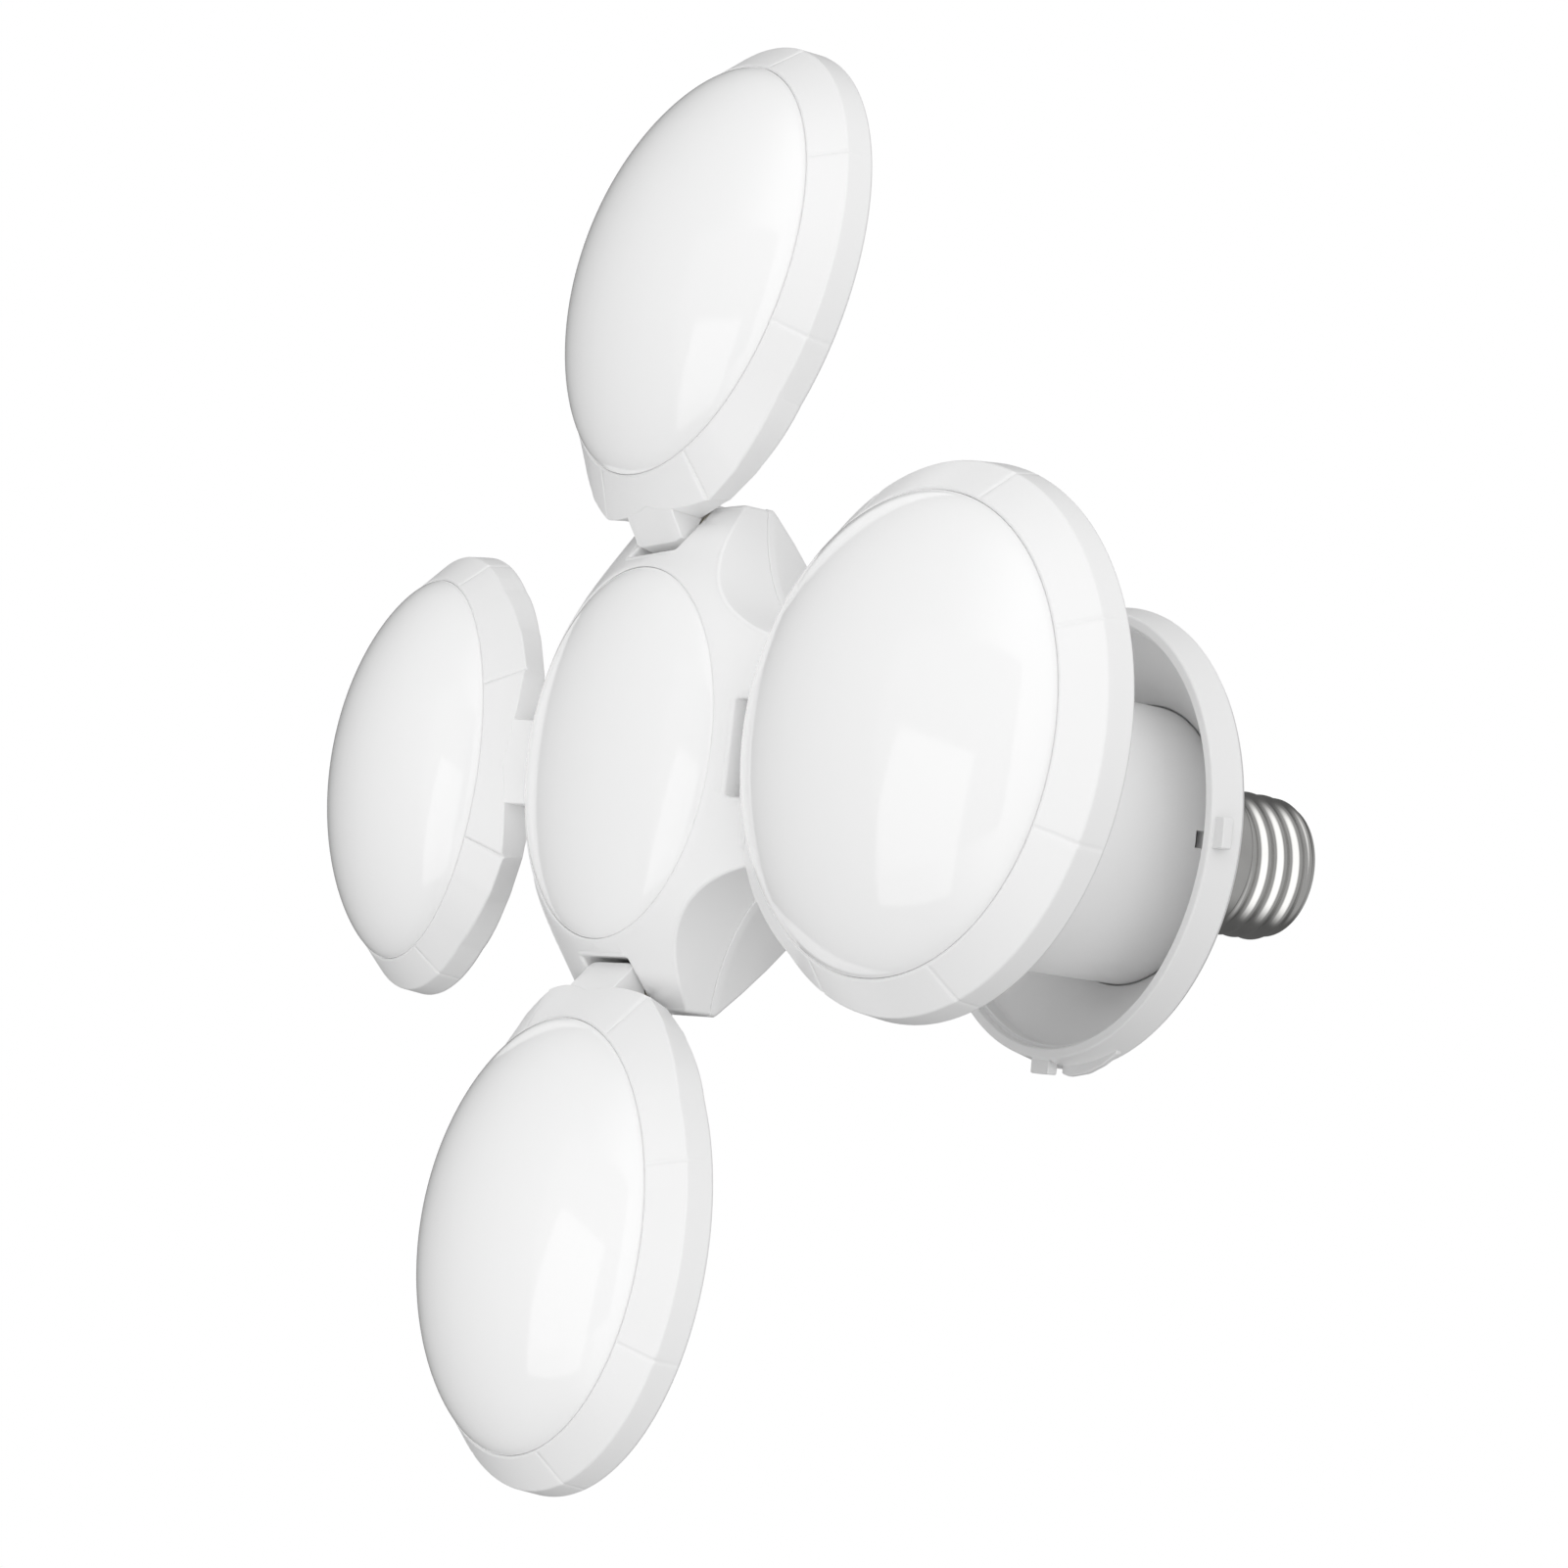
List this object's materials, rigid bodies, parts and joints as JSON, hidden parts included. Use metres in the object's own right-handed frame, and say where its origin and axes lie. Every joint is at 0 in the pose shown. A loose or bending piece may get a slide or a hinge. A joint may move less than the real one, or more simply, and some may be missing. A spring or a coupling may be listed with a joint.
{
  "type": "folding-petal ceiling light",
  "caption": "Screw-base ceiling light: a domed hub on a column, with round domed petals on friction hinges that fold back beside the column.",
  "frame": {"origin": "on the lamp's axis, where the metal shell of the screw base meets the plastic neck", "axes": "+Z along the axis into the lampholder, the light leaves along -Z; +X through the left petal, +Y through the top petal, as seen in the picture"},
  "size_m": [0.2355, 0.2352, 0.1583],
  "materials": {
    "shell_plastic": "smooth white moulded housing, satin gloss",
    "milky_plastic": "milky white light-diffusing plastic, polished",
    "dish_plastic": "smooth white moulded plastic, satin gloss",
    "column_plastic": "white moulded plastic, satin",
    "cover_plastic": "white moulded plastic, satin",
    "base_metal": "bright nickel-plated, rolled",
    "contact_metal": "dull tinned brass",
    "insulator": "pale insulating plastic",
    "circuit_board": "green circuit board",
    "coil_tape": "yellow coil tape on a dark core",
    "capacitor_sleeve": "dark shrink sleeve",
    "ferrite": "dark wound ferrite",
    "chip_black": "black moulded package",
    "board_metal": "white-coated aluminium board",
    "phosphor": "yellow phosphor",
    "screw_steel": "zinc-plated",
    "pin_steel": "ground steel",
    "washer_brass": "stamped"
  },
  "bodies": {
    "lamp": {"base_shell": "base_metal", "base_insulator": "insulator", "base_contact": "contact_metal", "rear_dish": "dish_plastic", "column": "column_plastic", "driver_board": "circuit_board", "driver_transformer": "coil_tape", "driver_capacitors": "capacitor_sleeve", "driver_choke": "ferrite", "driver_chips": "chip_black", "hub_rear_housing": "shell_plastic", "hub_front_housing": "shell_plastic", "hub_diffuser": "milky_plastic", "hub_light_board": "board_metal", "hub_light_chips": "phosphor", "housing_screws": "screw_steel", "column_screws": "screw_steel", "hinge_pins": "pin_steel", "friction_washers": "washer_brass"},
    "left_petal": {"left_petal_frame": "shell_plastic", "left_petal_diffuser": "milky_plastic", "left_petal_light_board": "board_metal", "left_petal_light_chips": "phosphor", "left_petal_back_cover": "cover_plastic", "left_petal_cover_screws": "screw_steel"},
    "top_petal": {"top_petal_frame": "shell_plastic", "top_petal_diffuser": "milky_plastic", "top_petal_light_board": "board_metal", "top_petal_light_chips": "phosphor", "top_petal_back_cover": "cover_plastic", "top_petal_cover_screws": "screw_steel"},
    "right_petal": {"right_petal_frame": "shell_plastic", "right_petal_diffuser": "milky_plastic", "right_petal_light_board": "board_metal", "right_petal_light_chips": "phosphor", "right_petal_back_cover": "cover_plastic", "right_petal_cover_screws": "screw_steel"},
    "bottom_petal": {"bottom_petal_frame": "shell_plastic", "bottom_petal_diffuser": "milky_plastic", "bottom_petal_light_board": "board_metal", "bottom_petal_light_chips": "phosphor", "bottom_petal_back_cover": "cover_plastic", "bottom_petal_cover_screws": "screw_steel"}
  },
  "joints": [
    {"name": "left_fold", "type": "hinge", "parent": "lamp", "child": "left_petal", "pos_m": [0.037, 0, -0.103], "axis": [0, -1, 0], "range_deg": [-10, 84]},
    {"name": "top_fold", "type": "hinge", "parent": "lamp", "child": "top_petal", "pos_m": [0, 0.037, -0.103], "axis": [1, 0, 0], "range_deg": [-10.5, 83.5]},
    {"name": "right_fold", "type": "hinge", "parent": "lamp", "child": "right_petal", "pos_m": [-0.037, 0, -0.103], "axis": [0, 1, 0], "range_deg": [-8.5, 85.5]},
    {"name": "bottom_fold", "type": "hinge", "parent": "lamp", "child": "bottom_petal", "pos_m": [0, -0.037, -0.103], "axis": [-1, 0, 0], "range_deg": [-1, 93]}
  ]
}
